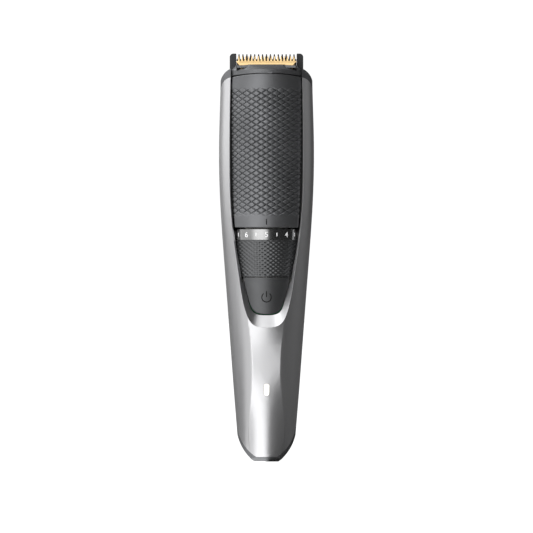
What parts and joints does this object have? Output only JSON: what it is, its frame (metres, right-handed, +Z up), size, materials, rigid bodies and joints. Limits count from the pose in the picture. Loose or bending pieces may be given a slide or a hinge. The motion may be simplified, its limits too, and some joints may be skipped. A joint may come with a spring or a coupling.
{
  "type": "beard trimmer",
  "caption": "Cordless beard trimmer with a tapered body, a knurled length wheel, a power button, a patterned front panel and a toothed blade head.",
  "frame": {"origin": "on the flat rest face at the foot, on the vertical axis of the length wheel", "axes": "+Z up the body to the blades, -Y out of the front with the button and panel, +X to the right seen from the front"},
  "size_m": [0.04, 0.0348, 0.1706],
  "materials": {
    "silver_paint": "satin",
    "dark_shell": "satin",
    "panel_plastic": "satin",
    "grip_plastic": "satin",
    "ring_metal": "satin",
    "button_metal": "satin",
    "light_window": "gloss",
    "gold_coating": "satin",
    "blade_steel": "satin",
    "black_plastic": "satin",
    "inner_plastic": "matte",
    "motor_steel": "satin",
    "bronze": "satin",
    "magnet": "matte",
    "copper": "satin",
    "battery_wrap": "gloss",
    "circuit_green": "satin",
    "chip_black": "matte",
    "black_rubber": "matte",
    "foam_pad": "matte"
  },
  "bodies": {
    "root": {"front_housing": "silver_paint", "rear_housing": "dark_shell", "bottom_cap": "dark_shell", "led_lens": "light_window", "front_panel": "panel_plastic", "head_collar": "dark_shell", "inner_chassis": "inner_plastic", "motor_can": "motor_steel", "motor_magnets": "magnet", "motor_end_cap": "inner_plastic", "motor_bush": "bronze", "head_seal": "black_rubber", "battery_cell": "battery_wrap", "battery_tabs": "motor_steel", "battery_pad": "foam_pad", "circuit_board": "circuit_green", "board_chips": "chip_black", "status_led": "light_window", "tact_switch": "motor_steel", "charging_socket": "black_plastic", "socket_contacts": "copper", "socket_seal": "black_rubber", "detent_spring": "motor_steel", "housing_screws": "motor_steel", "motor_wires": "copper"},
    "wheel": {"wheel_core": "inner_plastic", "wheel_grip": "grip_plastic", "number_ring": "ring_metal"},
    "comb_carrier": {"comb_slider": "black_plastic", "cam_follower": "motor_steel"},
    "button": {"power_button": "button_metal", "switch_plunger": "black_plastic"},
    "motor_rotor": {"motor_shaft": "motor_steel", "rotor": "copper", "eccentric": "inner_plastic"},
    "cutting_unit": {"cutter_holder": "dark_shell", "guard_blade": "blade_steel", "blade_spring": "motor_steel", "guard_screws": "motor_steel"},
    "cutter": {"moving_cutter": "gold_coating", "cutter_carrier": "inner_plastic"}
  },
  "joints": [
    {"name": "wheel_turn", "type": "hinge", "parent": "root", "child": "wheel", "pos_m": [0, 0, 0.087], "axis": [0, 0, 1], "range_deg": [-144, 160]},
    {"name": "comb_slide", "type": "slide", "parent": "root", "child": "comb_carrier", "axis": [0, 0, 1], "range_m": [-0.0046, 0.0051]},
    {"name": "button_press", "type": "slide", "parent": "root", "child": "button", "axis": [0, 1, 0], "range_m": [0, 0.0007], "stiffness_N_per_m": 600, "springref_m": -0.0005},
    {"name": "motor_spin", "type": "hinge", "parent": "root", "child": "motor_rotor", "pos_m": [0, 0, 0.13], "axis": [0, 0, 1], "continuous": true},
    {"name": "unit_open", "type": "hinge", "parent": "root", "child": "cutting_unit", "pos_m": [0, -0.0162, 0.16175], "axis": [1, 0, 0], "range_deg": [0, 50]},
    {"name": "cutter_slide", "type": "slide", "parent": "cutting_unit", "child": "cutter", "axis": [1, 0, 0], "range_m": [-0.0009, 0.0009]}
  ],
  "couplings": [
    {"joint": "comb_slide", "follows": "wheel_turn", "m_per_rad": 0.0017905}
  ]
}
